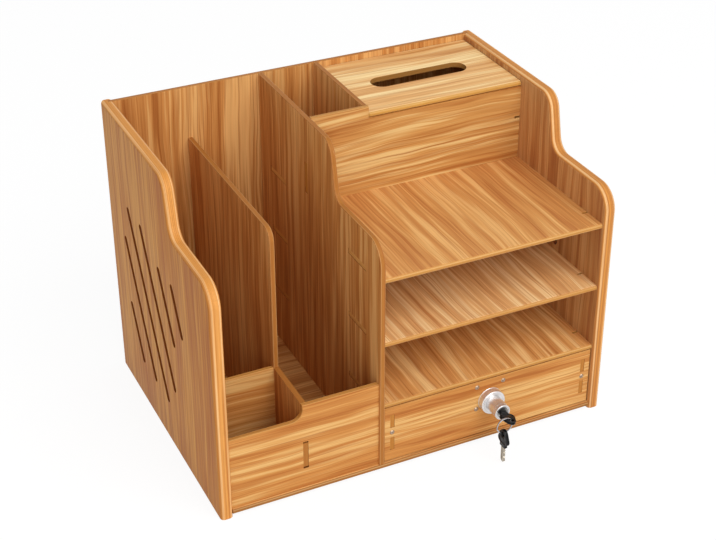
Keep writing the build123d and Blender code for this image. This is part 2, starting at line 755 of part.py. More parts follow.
def bow(plane, name):
    """A moulded bow: a neck, two lobes and a rounded end with a flared hole, over the tang."""
    hole_y = bow_hole_edge - bow_length
    with BuildPart() as cover:
        with BuildSketch(plane.offset(-bow_thickness / 2)) as outline:
            with Locations((-bow_lobe_pitch / 2, -bow_lobe_drop), (bow_lobe_pitch / 2, -bow_lobe_drop)):
                Circle(bow_lobe_radius)
            with Locations((0, bow_end_radius - bow_length)):
                Circle(bow_end_radius)
            make_hull(outline.sketch_local.edges())
            rectangle(span(0, bow_neck_width), (-bow_lobe_drop, 0))
        extrude(amount=bow_thickness)
        broad_faces = cover.faces().filter_by(Axis(plane.origin, plane.z_dir))
        chamfer(broad_faces.edges(), bow_edge_chamfer)
        for side in (1, -1):
            hole_at = plane.from_local_coords((0, hole_y, side * bow_thickness / 2))
            with Locations(Plane(hole_at, x_dir=plane.x_dir, z_dir=plane.z_dir * side)):
                flare_angle = 2 * degrees(atan((bow_flare_radius - bow_hole_radius) / bow_flare_depth))
                CounterSinkHole(bow_hole_radius, bow_flare_radius, bow_thickness, flare_angle)
        with BuildSketch(plane.offset(-blade_thickness / 2)):
            rectangle(span(0, blade_width), (-tang_length, 0))
        extrude(amount=blade_thickness, mode=Mode.SUBTRACT)
    save(cover, name)


def blade(plane, name):
    """A flat key blank: a tang inside the bow and a blade with cuts in one edge."""
    with BuildPart() as blank:
        with BuildSketch(plane.offset(-blade_thickness / 2)):
            rectangle(span(0, blade_width), (-tang_length, blade_length))
            chamfer(vertices().group_by(Axis.Y)[-1], blade_tip_chamfer)
            for index, cut_depth in enumerate(blade_cut_depths):
                cut_y = blade_length - blade_first_cut - index * blade_cut_pitch
                with BuildLine():
                    Polyline(
                        (blade_width / 2, cut_y - blade_cut_width / 2),
                        (blade_width / 2 - cut_depth, cut_y),
                        (blade_width / 2, cut_y + blade_cut_width / 2),
                        close=True,
                    )
                make_face(mode=Mode.SUBTRACT)
        extrude(amount=blade_thickness)
    save(blank, name)


for plane, prefix in ((key_plane, "key"), (spare_plane, "spare_key")):
    bow(plane, f"{prefix}_bow")
    blade(plane, f"{prefix}_blade")

# Ring through both bows
with BuildPart() as key_ring:
    with BuildSketch(Plane((ring_x, ring_y, ring_z + ring_radius), x_dir=(0, 0, 1), z_dir=(1, 0, 0))):
        RegularPolygon(ring_wire, ring_wire_sides)
    revolve(axis=Axis((ring_x, ring_y, ring_z), (0, 1, 0)))
save(key_ring, "key_ring")

print("front", front, "back", back, "face", face)
print("ring centre", ring_x - lock_x, ring_z - lock_height)
print("spare key tip height", spare_shoulder_z - blade_length)
print("pin reach", pin_reach, "key turn per metre of bolt travel", radians(key_turn) / bolt_throw * 1000)
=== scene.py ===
import json
from math import acos, atan2, cos, degrees, hypot, pi, radians, sin

import bmesh
import bpy
from mathutils import Matrix, Vector


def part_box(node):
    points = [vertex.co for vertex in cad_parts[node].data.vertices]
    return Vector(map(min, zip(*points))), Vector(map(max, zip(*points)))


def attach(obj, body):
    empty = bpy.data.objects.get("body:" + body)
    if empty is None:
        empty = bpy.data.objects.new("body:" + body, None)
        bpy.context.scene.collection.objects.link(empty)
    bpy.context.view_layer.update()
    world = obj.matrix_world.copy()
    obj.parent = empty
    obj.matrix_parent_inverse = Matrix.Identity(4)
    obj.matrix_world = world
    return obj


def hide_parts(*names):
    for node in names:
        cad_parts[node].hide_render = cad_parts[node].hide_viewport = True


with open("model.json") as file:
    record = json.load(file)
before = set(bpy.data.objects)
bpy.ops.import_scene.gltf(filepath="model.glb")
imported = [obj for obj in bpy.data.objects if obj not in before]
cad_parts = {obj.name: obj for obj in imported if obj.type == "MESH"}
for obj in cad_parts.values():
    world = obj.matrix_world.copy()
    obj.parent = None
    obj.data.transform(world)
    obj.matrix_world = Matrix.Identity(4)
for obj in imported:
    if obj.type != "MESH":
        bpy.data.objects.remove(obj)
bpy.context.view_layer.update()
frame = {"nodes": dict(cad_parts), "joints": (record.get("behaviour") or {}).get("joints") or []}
cadNodes = frame["nodes"]
joints = {joint["name"]: joint for joint in frame["joints"]}
scene = bpy.context.scene
scene.view_settings.view_transform = "Standard"
perMetre = 1000  # the small parts below are given in millimetres
print("organizer: model loaded,", len(cadNodes), "nodes")


def paint(red, green, blue):
    # screen levels from 0 to 255, as linear light
    channels = []
    for level in (red, green, blue):
        share = level / 255
        channels.append(share / 12.92 if share <= 0.04045 else ((share + 0.055) / 1.055) ** 2.4)
    return (*channels, 1.0)


# Small helpers for node trees
def emptyTree(owner):
    owner.use_nodes = True
    owner.node_tree.nodes.clear()
    return owner.node_tree


def addSockets(tree, side, kind, *names):
    return [tree.interface.new_socket(name=name, in_out=side, socket_type=kind) for name in names]


def addNode(tree, kind, inputs=None, **settings):
    made = tree.nodes.new(kind)
    for key, value in settings.items():
        setattr(made, key, value)
    for key, value in (inputs or {}).items():
        if isinstance(value, bpy.types.NodeSocket):
            tree.links.new(value, made.inputs[key])
        else:
            made.inputs[key].default_value = value
    return made


def reckon(tree, operation, *values):
    return addNode(tree, "ShaderNodeMath", dict(enumerate(values)), operation=operation).outputs[0]


def reckonVector(tree, operation, *values):
    return addNode(tree, "ShaderNodeVectorMath", dict(enumerate(values)), operation=operation).outputs


def joinAxes(tree, *values):
    return addNode(tree, "ShaderNodeCombineXYZ", dict(enumerate(values))).outputs[0]


def splitAxes(tree, vector):
    return addNode(tree, "ShaderNodeSeparateXYZ", {0: vector}).outputs


def eased(tree, value, low, high, start=0.0, end=1.0):
    inputs = {"Value": value, "From Min": low, "From Max": high, "To Min": start, "To Max": end}
    return addNode(tree, "ShaderNodeMapRange", inputs, interpolation_type="SMOOTHSTEP").outputs[0]


def blended(tree, share, first, second, way="MIX"):
    inputs = {0: share, 6: first, 7: second}
    return addNode(tree, "ShaderNodeMix", inputs, data_type="RGBA", blend_type=way).outputs[2]


def noiseOf(tree, place, stretch, detail=2.0, roughness=0.5):
    scaled = reckonVector(tree, "MULTIPLY", place, stretch)[0]
    inputs = {"Vector": scaled, "Scale": 1.0, "Detail": detail, "Roughness": roughness}
    return addNode(tree, "ShaderNodeTexNoise", inputs).outputs[0]


def newMaterial(name):
    material = bpy.data.materials.new(name)
    tree = emptyTree(material)
    shader = tree.nodes.new("ShaderNodeBsdfPrincipled")
    addNode(tree, "ShaderNodeOutputMaterial", {"Surface": shader.outputs[0]})
    return material, tree, shader


def feedShader(tree, shader, colour, roughness, height, look):
    inputs = {"Height": height, "Distance": look["relief"], "Strength": look["bump"]}
    bump = addNode(tree, "ShaderNodeBump", inputs)
    tree.links.new(colour, shader.inputs["Base Color"])
    tree.links.new(roughness, shader.inputs["Roughness"])
    tree.links.new(bump.outputs[0], shader.inputs["Normal"])


# Camera where the photograph was taken from
cameraView = {
    "place": (-0.6523, -1.3433, 1.0838),
    "azimuth": -25.22,
    "elevation": 29.91,
    "roll": -0.29,
    "lens": 76.43,
    "sensor": 36,
    "shift": (0.0116, -0.052),
    "nearest": 0.05,
}


def makeCamera(look):
    data = bpy.data.cameras.new("photoCamera")
    data.sensor_fit = "HORIZONTAL"
    data.sensor_width = look["sensor"]
    data.lens = look["lens"]
    data.shift_x, data.shift_y = look["shift"]
    data.clip_start = look["nearest"]
    camera = bpy.data.objects.new("photoCamera", data)
    scene.collection.objects.link(camera)
    turn, rise, roll = (radians(look[key]) for key in ("azimuth", "elevation", "roll"))
    back = Vector((sin(turn) * cos(rise), -cos(turn) * cos(rise), sin(rise)))
    level = (-back).cross(Vector((0, 0, 1))).normalized()
    upright = level.cross(-back)
    right = cos(roll) * level + sin(roll) * upright
    up = cos(roll) * upright - sin(roll) * level
    axes = Matrix((right, up, back)).transposed().to_4x4()
    camera.matrix_world = Matrix.Translation(look["place"]) @ axes
    scene.camera = camera


makeCamera(cameraView)

# Soft studio: a broad lamp high on the right, a weak one on the left in front, white surroundings
studioLook = {
    "lamps": {
        "keyLamp": {"place": (0.5, -1.7, 2.3), "size": 1.5, "power": 32},
        "fillLamp": {"place": (-0.5, -2.2, 1.15), "size": 1.4, "power": 16},
    },
    "aim": (0.0, 0.0, 0.15),
    "surround": 0.62,
    "surroundTint": (0.985, 0.99, 1.0, 1.0),
    "floorSize": 7.0,
    "floorWhite": 0.86,
    "floorGlow": 1.04,
    "paper": (0.9, 0.9, 0.9, 1.0),
}
plainWhite = (1.0, 1.0, 1.0, 1.0)


def addLamp(name, look, target):
    data = bpy.data.lights.new(name, "AREA")
    data.size = look["size"]
    data.energy = look["power"]
    lamp = bpy.data.objects.new(name, data)
    scene.collection.objects.link(lamp)
    aim = Vector(target) - Vector(look["place"])
    turn = aim.to_track_quat("-Z", "Y").to_matrix().to_4x4()
    lamp.matrix_world = Matrix.Translation(look["place"]) @ turn


def seenDirectly(tree):
    path = tree.nodes.new("ShaderNodeLightPath").outputs
    mirrored = reckon(tree, "MAXIMUM", path["Is Glossy Ray"], path["Is Transmission Ray"])
    return reckon(tree, "MAXIMUM", path["Is Camera Ray"], mirrored)


def makeRoom(look):
    world = bpy.data.worlds.new("paleRoom")
    scene.world = world
    tree = emptyTree(world)
    seen = seenDirectly(tree)
    tint = blended(tree, seen, look["surroundTint"], plainWhite)
    strength = eased(tree, seen, 0.0, 1.0, look["surround"], 1.0)
    sky = addNode(tree, "ShaderNodeBackground", {"Color": tint, "Strength": strength})
    addNode(tree, "ShaderNodeOutputWorld", {"Surface": sky.outputs[0]})


def makeFloor(look):
    half = look["floorSize"] / 2
    corners = [(-half, -half, 0), (half, -half, 0), (half, half, 0), (-half, half, 0)]
    mesh = bpy.data.meshes.new("paleFloor")
    mesh.from_pydata(corners, [], [(0, 1, 2, 3)])
    floor = bpy.data.objects.new("paleFloor", mesh)
    scene.collection.objects.link(floor)
    material = bpy.data.materials.new("palePaper")
    tree = emptyTree(material)
    matte = addNode(tree, "ShaderNodeBsdfDiffuse", {"Color": look["paper"]})
    glow = addNode(tree, "ShaderNodeEmission", {"Color": plainWhite, "Strength": look["floorGlow"]})
    share = reckon(tree, "MULTIPLY", seenDirectly(tree), look["floorWhite"])
    both = addNode(tree, "ShaderNodeMixShader", {0: share, 1: matte.outputs[0], 2: glow.outputs[0]})
    addNode(tree, "ShaderNodeOutputMaterial", {"Surface": both.outputs[0]})
    mesh.materials.append(material)


for lampName, lampLook in studioLook["lamps"].items():
    addLamp(lampName, lampLook, studioLook["aim"])
makeRoom(studioLook)
makeFloor(studioLook)
print("organizer: camera, lamps and floor set")

# Board grain: one group for all boards, turned and shifted for each
axisOf = {"X": (1.0, 0.0, 0.0), "Y": (0.0, 1.0, 0.0), "Z": (0.0, 0.0, 1.0)}

# Screen levels of the broad faces, then of the edges, the ends, and the painted shade of the cut walls
grainColours = ("Pale", "Warm", "Vein", "Edge", "End", "Cut")
grainTones = {
    "front": (
        (222, 175, 109), (201, 138, 72), (167, 96, 42),
        (196, 142, 72), (182, 122, 54), (136, 80, 36),
    ),
    "riser": (
        (228, 192, 128), (205, 150, 84), (164, 96, 42),
        (196, 142, 72), (186, 122, 48), (120, 66, 28),
    ),
    "top": (
        (230, 178, 112), (209, 148, 84), (178, 108, 56),
        (212, 156, 86), (192, 138, 68), (112, 62, 28),
    ),
    "shelf": (
        (242, 198, 134), (218, 158, 92), (176, 106, 52),
        (206, 150, 80), (190, 136, 66), (112, 62, 28),
    ),
    # middle shelf: paler tone as painted light, reflected onto it from white notebooks that are left out
    "middle": (
        (252, 216, 158), (232, 180, 118), (190, 122, 68),
        (206, 150, 80), (190, 136, 66), (112, 62, 28),
    ),
    "floor": (
        (222, 170, 106), (194, 134, 74), (150, 84, 38),
        (158, 106, 50), (158, 106, 50), (112, 62, 28),
    ),
    "left": (
        (208, 145, 60), (188, 118, 34), (162, 84, 18),
        (218, 152, 80), (214, 146, 72), (128, 66, 24),
    ),
    "right": (
        (208, 158, 102), (188, 132, 78), (158, 96, 54),
        (206, 138, 66), (206, 138, 66), (128, 68, 30),
    ),
    "divider": (
        (226, 172, 106), (202, 138, 74), (158, 90, 38),
        (170, 110, 50), (170, 110, 50), (112, 60, 26),
    ),
    "lid": (
        (250, 218, 158), (232, 180, 116), (190, 124, 62),
        (202, 150, 72), (202, 150, 72), (168, 116, 58),
    ),
}
paintedGlintShares = {"left": 0.5, "right": 0.6}  # how strong the painted highlight on the rounded edges is
plainPaintedGlint = 0.25
# colour of the painted highlight on the rounded edges
paintedGlintColour = (252, 214, 160)

grainLook = {
    "swayReach": 0.026,
    "waverReach": 0.006,
    "ringWidth": 0.0135,
    "ringSway": 4.0,
    "seamDepth": 0.45,
    "satin": 0.44,
    "satinSwing": 0.16,
    "satinFibre": 0.08,
    "sheen": 0.09,
    "veinSink": 0.35,
    "relief": 0.00006,
    "bump": 0.6,
    "shiftShares": (1.0, 0.37, 0.61),
}
toneShares = {"broad": 0.28, "band": 0.36, "streak": 0.36}

# Noise: scale along, across and through the board, then detail and roughness
grainNoise = {
    "sway": ((2.6, 6.0, 5.0), 1.0),
    "waver": ((13.0, 40.0, 20.0), 1.0),
    "broad": ((1.4, 24.0, 9.0), 1.0),
    "band": ((4.2, 84.0, 34.0), 2.0, 0.55),
    "streak": ((7.0, 290.0, 150.0), 2.5, 0.62),
    "hair": ((5.0, 620.0, 300.0), 1.5, 0.6),
    "fibre": ((16.0, 1100.0, 700.0), 2.0, 0.6),
    "rings": ((2.1, 12.0, 7.0), 1.5, 0.5),
    "layers": ((2.5, 2.5, 620.0), 2.0, 0.6),
}

# Steps: the two levels that a value is eased between, then what it becomes there if not 0 and 1
grainSteps = {
    "lateRise": (0.2, 0.86),
    "lateStop": (1.0, 0.88),
    "ringBand": (0.38, 0.6, 0.1, 0.42),
    "warm": (0.43, 0.535),
    "vein": (0.52, 0.64, 0.0, 0.85),
    "hair": (0.54, 0.70, 0.0, 0.6),
    "fibre": (0.30, 0.70, 0.94, 1.05),
    "edgeLayers": (0.42, 0.66, 0.0, 0.6),
    "endLayers": (0.42, 0.66, 0.0, 0.4),
    "end": (0.5, 0.85),
    "flankRise": (0.05, 0.34),
    "flankFall": (0.78, 0.5),
    "flankLayers": (0.62, 0.40, 0.35, 1.0),
    "seamRise": (0.74, 0.88),
    "seamFall": (0.985, 0.92),
    "face": (0.86, 0.97),
}

# Board: tone, way of the grain, way of the thickness, shift of the pattern
boardLook = {
    "left_side_panel": ("left", "Z", "X", 0.13),
    "right_side_panel": ("right", "Z", "X", 1.71),
    "back_panel": ("divider", "Z", "Y", 2.37),
    "bottom_board": ("floor", "X", "Z", 3.11),
    "centre_divider": ("divider", "Z", "X", 4.53),
    "file_divider": ("divider", "Z", "X", 5.29),
    "marker_bay_panel": ("front", "X", "Y", 6.07),
    "front_rail": ("front", "X", "Y", 7.41),
    "top_shelf": ("top", "Y", "Z", 8.31),
    "middle_shelf": ("middle", "Y", "Z", 9.57),
    "lower_shelf": ("shelf", "Y", "Z", 10.19),
    "riser_panel": ("riser", "X", "Y", 11.67),
    "pen_bay_partition": ("divider", "Z", "X", 12.31),
    "lid_support": ("front", "X", "Y", 13.03),
    "tissue_lid": ("lid", "X", "Z", 14.77),
    "drawer_front": ("front", "X", "Y", 15.23),
    "drawer_left_side": ("front", "Y", "X", 16.91),
    "drawer_right_side": ("front", "Y", "X", 17.43),
    "drawer_back": ("front", "X", "Y", 18.59),
    "drawer_bottom": ("shelf", "Y", "Z", 19.37),
}

# Zones in millimetres, lower and upper corner: walls of slots and holes in them get painted shade
paintedShadeZones = {
    "left_side_panel": ((-242, -90, 30), (-224, 176, 272)),
    "right_side_panel": ((224, -90, 30), (242, 176, 272)),
    "centre_divider": ((-52, -110, 12), (-42, 160, 270)),
    "file_divider": ((-143, -110, 12), (-133, 160, 110)),
    "front_rail": ((-225, -139, 14), (-58, -129, 94)),
    "drawer_front": ((-41, -139, 12), (223, -129, 80)),
    "tissue_lid": ((50, 70, 341), (205, 160, 351)),
}
noPaintedShadeZone = ((0, 0, -9), (1, 1, -8))  # below the floor, where no board is


def makeGrainGroup(look):
    tree = bpy.data.node_groups.new("boardGrain", "ShaderNodeTree")
    addSockets(tree, "INPUT", "NodeSocketVector", "Along", "Across", "Through", "Shift")
    addSockets(tree, "INPUT", "NodeSocketVector", "Cut Middle", "Cut Reach")
    addSockets(tree, "INPUT", "NodeSocketColor", *grainColours)
    addSockets(tree, "INPUT", "NodeSocketFloat", "Glint")
    addSockets(tree, "OUTPUT", "NodeSocketColor", "Colour")
    addSockets(tree, "OUTPUT", "NodeSocketFloat", "Satin", "Height")
    given = tree.nodes.new("NodeGroupInput").outputs
    where = tree.nodes.new("ShaderNodeTexCoord").outputs

    def pattern(laid, name):
        return noiseOf(tree, laid, *grainNoise[name])

    def step(value, name):
        return eased(tree, value, *grainSteps[name])

    def times(first, second):
        return reckon(tree, "MULTIPLY", first, second)

    def timesPlus(first, second, third):
        return reckon(tree, "MULTIPLY_ADD", first, second, third)

    def measured(vector, way):
        return reckonVector(tree, "DOT_PRODUCT", where[vector], given[way])["Value"]

    laid = joinAxes(tree, *[measured("Object", way) for way in ("Along", "Across", "Through")])
    place = reckonVector(tree, "ADD", laid, given["Shift"])[0]
    parts = splitAxes(tree, place)

    # The grain wanders sideways along the board, broadly and then finely
    across = parts[1]
    for name, reach in (("sway", look["swayReach"]), ("waver", look["waverReach"])):
        across = reckon(tree, "ADD", across, timesPlus(pattern(place, name), reach, -reach / 2))
    bent = joinAxes(tree, parts[0], across, parts[2])
    band, streak, fibre = [pattern(bent, name) for name in ("band", "streak", "fibre")]

    # Year rings: lines bent by a slow field, which swell towards the late wood and then stop short
    rings = reckon(tree, "DIVIDE", across, look["ringWidth"])
    phase = reckon(tree, "FRACT", timesPlus(pattern(place, "rings"), look["ringSway"], rings))
    late = times(step(phase, "lateRise"), step(phase, "lateStop"))
    drawn = times(late, step(band, "ringBand"))

    # Pale wood, then warm bands, then brown veins and hair lines
    tone = timesPlus(pattern(bent, "broad"), toneShares["broad"], times(band, toneShares["band"]))
    tone = timesPlus(streak, toneShares["streak"], tone)
    ground = blended(tree, step(tone, "warm"), given["Pale"], given["Warm"])
    vein = reckon(tree, "MAXIMUM", step(tone, "vein"), drawn)
    veined = blended(tree, vein, ground, given["Vein"])
    veined = blended(tree, step(pattern(bent, "hair"), "hair"), veined, given["Vein"])

    # Edges and ends: lines that run along them, with a painted highlight where they are rounded
    lines = pattern(place, "layers")
    facing = reckon(tree, "ABSOLUTE", measured("Normal", "Through"))
    endwise = reckon(tree, "ABSOLUTE", measured("Normal", "Along"))
    edged = blended(tree, step(lines, "edgeLayers"), given["Edge"], given["Vein"])
    ended = blended(tree, step(lines, "endLayers"), given["End"], given["Vein"])
    edged = blended(tree, step(endwise, "end"), edged, ended)
    # Painted highlight: a pale band on the rounded flank of each edge, standing in for a lamp's glint
    flank = times(step(facing, "flankRise"), step(facing, "flankFall"))
    flank = times(flank, step(lines, "flankLayers"))
    edged = blended(tree, times(flank, given["Glint"]), edged, paint(*paintedGlintColour))

    # Walls of slots and holes get painted shade, and a thin seam where an edge meets a face is dark
    apart = reckonVector(tree, "SUBTRACT", where["Object"], given["Cut Middle"])[0]
    apart = reckonVector(tree, "DIVIDE", apart, given["Cut Reach"])[0]
    sides = splitAxes(tree, reckonVector(tree, "ABSOLUTE", apart)[0])
    farthest = reckon(tree, "MAXIMUM", reckon(tree, "MAXIMUM", sides[0], sides[1]), sides[2])
    # painted shade: inside its zone an edge takes the darker Cut colour
    edged = blended(tree, reckon(tree, "LESS_THAN", farthest, 1.0), edged, given["Cut"])
    seam = times(step(facing, "seamRise"), step(facing, "seamFall"))
    edged = blended(tree, times(seam, look["seamDepth"]), edged, given["Vein"])
    colour = blended(tree, step(facing, "face"), edged, veined)
    fine = step(fibre, "fibre")
    colour = blended(tree, 1.0, colour, joinAxes(tree, fine, fine, fine), "MULTIPLY")

    satin = timesPlus(streak, look["satinSwing"], look["satin"] - look["satinSwing"] / 2)
    satin = reckon(tree, "SUBTRACT", satin, look["satinFibre"] / 2)
    satin = timesPlus(fibre, look["satinFibre"], satin)
    height = timesPlus(vein, -look["veinSink"], fibre)
    addNode(tree, "NodeGroupOutput", {"Colour": colour, "Satin": satin, "Height": height})
    return tree


grainGroup = makeGrainGroup(grainLook)


def makeBoardMaterial(node, tone, along, through, shift):
    material, tree, shader = newMaterial(node + "_grain")
    across = next(way for way in "YXZ" if way not in (along, through))
    low, high = (Vector(corner) / perMetre for corner in paintedShadeZones.get(node, noPaintedShadeZone))
    values = {
        "Along": axisOf[along],
        "Across": axisOf[across],
        "Through": axisOf[through],
        "Shift": [shift * share for share in grainLook["shiftShares"]],
        "Cut Middle": (low + high) / 2,
        "Cut Reach": (high - low) / 2,
        "Glint": paintedGlintShares.get(tone, plainPaintedGlint),
    }
    values.update((name, paint(*colour)) for name, colour in zip(grainColours, grainTones[tone]))
    grain = addNode(tree, "ShaderNodeGroup", values, node_tree=grainGroup).outputs
    feedShader(tree, shader, grain["Colour"], grain["Satin"], grain["Height"], grainLook)
    shader.inputs["Specular IOR Level"].default_value = grainLook["sheen"]
    return material


# Packed meshes are loose triangles: they are joined, and shaded smooth up to the sharp angle
softEdgeLook = {"sharpAngle": 32, "joinWithin": 0.000004}


def makeSmoothTree(look):
    tree = bpy.data.node_groups.new("softEdges", "GeometryNodeTree")
    addSockets(tree, "INPUT", "NodeSocketGeometry", "Geometry")
    limit = addSockets(tree, "INPUT", "NodeSocketFloat", "Sharp Angle")[0]
    limit.default_value = radians(look["sharpAngle"])
    addSockets(tree, "OUTPUT", "NodeSocketGeometry", "Geometry")
    given = tree.nodes.new("NodeGroupInput").outputs
    loose = {"Geometry": given["Geometry"], "Distance": look["joinWithin"]}
    joined = addNode(tree, "GeometryNodeMergeByDistance", loose).outputs[0]
    angle = tree.nodes.new("GeometryNodeInputMeshEdgeAngle").outputs["Unsigned Angle"]
    angles = {0: angle, 1: given["Sharp Angle"]}
    gentle = addNode(tree, "FunctionNodeCompare", angles, operation="LESS_THAN").outputs[0]
    whole = {"Geometry": joined, "Shade Smooth": True}
    faces = addNode(tree, "GeometryNodeSetShadeSmooth", whole, domain="FACE").outputs[0]
    bends = {"Geometry": faces, "Shade Smooth": gentle}
    edges = addNode(tree, "GeometryNodeSetShadeSmooth", bends, domain="EDGE").outputs[0]
    addNode(tree, "NodeGroupOutput", {"Geometry": edges})
    return tree


softEdges = makeSmoothTree(softEdgeLook)


def dressNode(node, material):
    piece = cadNodes[node]
    if piece.material_slots:
        piece.material_slots[0].material = material
    else:
        piece.data.materials.append(material)
    piece.modifiers.new("softEdges", "NODES").node_group = softEdges


for boardName, look in boardLook.items():
    dressNode(boardName, makeBoardMaterial(boardName, *look))
print("organizer: boards dressed")

# Metals and plastic: two colours in screen levels, mixed by fine marks and a broader cloud
metalLook = {
    "chrome": {
        "tint": (232, 230, 230),
        "shade": (212, 208, 206),
        "metallic": 0.8,
        "rough": (0.26, 0.36),
        "relief": 0.000006,
        "bump": 0.5,
    },
    "plug": {
        "tint": (178, 174, 168),
        "shade": (134, 130, 126),
        "metallic": 1.0,
        "rough": (0.24, 0.36),
        "relief": 0.00002,
        "bump": 0.5,
    },
    "screw": {
        "tint": (182, 158, 136),
        "shade": (142, 120, 100),
        "metallic": 0.9,
        "rough": (0.30, 0.44),
        "relief": 0.00002,
        "bump": 0.5,
    },
    "ring": {
        "tint": (206, 206, 208),
        "shade": (168, 168, 172),
        "metallic": 1.0,
        "rough": (0.10, 0.20),
        "relief": 0.00001,
        "bump": 0.5,
    },
    "key": {
        "tint": (188, 178, 162),
        "shade": (146, 136, 120),
        "metallic": 1.0,
        "rough": (0.26, 0.42),
        "relief": 0.00003,
        "bump": 0.5,
    },
}
plasticLook = {
    "tint": (15, 15, 17),
    "worn": (32, 32, 35),
    "sheen": 0.3,
    "rough": (0.34, 0.5),
    "relief": 0.00005,
    "bump": 0.5,
}
finishNoise = {
    "turned": ((5200.0, 5200.0, 1.0), 2.0),
    "drawn": ((2600.0, 2600.0, 420.0), 2.0),
    "cloud": ((160.0, 160.0, 160.0), 2.0),
    "moulded": ((2400.0, 2400.0, 2400.0), 2.0),
    "worn": ((260.0, 260.0, 260.0), 3.0),
}
marksShare = 0.5
shadeStep = (0.35, 0.65)
wornStep = (0.5, 0.8, 0.0, 0.7)
roughStep = (0.3, 0.7)
lockCentre = Vector(joints["key_turn"]["pos_m"])


def turnedMarks(tree, where):
    # fine rings round the axis of the lock
    away = reckonVector(tree, "SUBTRACT", where, tuple(lockCentre))[0]
    flat = reckonVector(tree, "MULTIPLY", away, (1.0, 0.0, 1.0))[0]
    radius = reckonVector(tree, "LENGTH", flat)["Value"]
    tracks = joinAxes(tree, radius, splitAxes(tree, where)[1], 0.0)
    return noiseOf(tree, tracks, *finishNoise["turned"])


def makeMetal(name, look, turned):
    material, tree, shader = newMaterial(name)
    where = tree.nodes.new("ShaderNodeTexCoord").outputs["Object"]
    marks = turnedMarks(tree, where) if turned else noiseOf(tree, where, *finishNoise["drawn"])
    cloud = reckon(tree, "MULTIPLY", noiseOf(tree, where, *finishNoise["cloud"]), 1 - marksShare)
    share = reckon(tree, "MULTIPLY_ADD", marks, marksShare, cloud)
    colour = blended(tree, eased(tree, share, *shadeStep), paint(*look["tint"]), paint(*look["shade"]))
    feedShader(tree, shader, colour, eased(tree, share, *roughStep, *look["rough"]), marks, look)
    shader.inputs["Metallic"].default_value = look["metallic"]
    return material


def makePlastic(name, look):
    material, tree, shader = newMaterial(name)
    where = tree.nodes.new("ShaderNodeTexCoord").outputs["Object"]
    grainy = noiseOf(tree, where, *finishNoise["moulded"])
    worn = noiseOf(tree, where, *finishNoise["worn"])
    colour = blended(tree, eased(tree, worn, *wornStep), paint(*look["tint"]), paint(*look["worn"]))
    feedShader(tree, shader, colour, eased(tree, worn, *roughStep, *look["rough"]), grainy, look)
    shader.inputs["Specular IOR Level"].default_value = look["sheen"]
    return material


chrome = makeMetal("turned_chrome", metalLook["chrome"], True)
plugMetal = makeMetal("turned_plug", metalLook["plug"], True)
caseSteel = makeMetal("case_steel", metalLook["plug"], False)
screwSteel = makeMetal("screw_steel", metalLook["screw"], False)
ringSteel = makeMetal("ring_steel", metalLook["ring"], False)
keyNickel = makeMetal("key_nickel", metalLook["key"], False)
bowPlastic = makePlastic("moulded_black", plasticLook)

dressNode("lock_plug", plugMetal)
dressNode("lock_bolt", caseSteel)
dressNode("lock_cover", caseSteel)

weldWithin = 0.0000005  # metres
rimSteps = 2  # of a rounded rim


# Small helpers for pieces made here, whose outlines are in millimetres
def finishPiece(name, mesh, material, body, replaced, sharpAngle=32):
    bm = bmesh.new()
    bm.from_mesh(mesh)
    bmesh.ops.remove_doubles(bm, verts=bm.verts, dist=weldWithin)
    bmesh.ops.recalc_face_normals(bm, faces=bm.faces)
    bm.to_mesh(mesh)
    bm.free()
    mesh.shade_smooth()
    mesh.set_sharp_from_angle(angle=radians(sharpAngle))
    mesh.materials.clear()
    mesh.materials.append(material)
    piece = bpy.data.objects.new(name, mesh)
    scene.collection.objects.link(piece)
    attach(piece, body)
    if replaced:
        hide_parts(*replaced)


def clamped(share):
    return max(0.0, min(1.0, share))


def mirrored(points):
    return [(-x, y) for x, y in reversed(points)]


def cornerArc(centre, radius, start, end, count=5):
    spread = [radians(start + (end - start) * index / (count - 1)) for index in range(count)]
    return [(centre[0] + radius * cos(a), centre[1] + radius * sin(a)) for a in spread]


def roundHole(centre, radius, count=48):
    return cornerArc(centre, radius, 0, 360 - 360 / count, count)


def boxOutline(wide, tall):
    return [(wide, tall), (-wide, tall), (-wide, -tall), (wide, -tall)]


def bandFaces(count, first, second):
    # quads between two closed loops of count points each
    low, high = first * count, second * count
    sides = [(index, (index + 1) % count) for index in range(count)]
    return [(low + index, low + after, high + after, high + index) for index, after in sides]


def turnedMesh(name, profile, steps=96):
    # profile: radius and depth behind the drawer's face, once round the section
    vertices, faces = [], []
    for step in range(steps):
        angle = 2 * pi * step / steps
        for radius, depth in profile:
            reach = Vector((radius * cos(angle), depth, radius * sin(angle)))
            vertices.append(tuple(lockCentre + reach / perMetre))
        faces += bandFaces(len(profile), step, (step + 1) % steps)
    mesh = bpy.data.meshes.new(name)
    mesh.from_pydata(vertices, [], faces)
    return mesh


def evaluatedMesh(holder):
    bpy.context.view_layer.update()
    return bpy.data.meshes.new_from_object(holder.evaluated_get(bpy.context.evaluated_depsgraph_get()))


def flatSolid(name, loops, low, high, rim, place):
    # closed outlines raised from low to high, with rounded rims
    data = bpy.data.curves.new(name, "CURVE")
    data.dimensions = "2D"
    data.fill_mode = "BOTH"
    data.extrude = (high - low) / 2 / perMetre - rim / perMetre
    data.bevel_depth = rim / perMetre
    data.bevel_resolution = rimSteps
    data.offset = -rim / perMetre
    for loop in loops:
        spline = data.splines.new("POLY")
        spline.points.add(len(loop) - 1)
        for point, (x, y) in zip(spline.points, loop):
            point.co = (x / perMetre, y / perMetre, 0, 1)
        spline.use_cyclic_u = True
    holder = bpy.data.objects.new(name, data)
    scene.collection.objects.link(holder)
    mesh = evaluatedMesh(holder)
    bpy.data.objects.remove(holder)
    mesh.transform(place @ Matrix.Translation((0, 0, (high + low) / 2 / perMetre)))
    return mesh


def joinMeshes(name, meshes):
    bm = bmesh.new()
    for mesh in meshes:
        bm.from_mesh(mesh)
    joined = bpy.data.meshes.new(name)
    bm.to_mesh(joined)
    bm.free()
    return joined


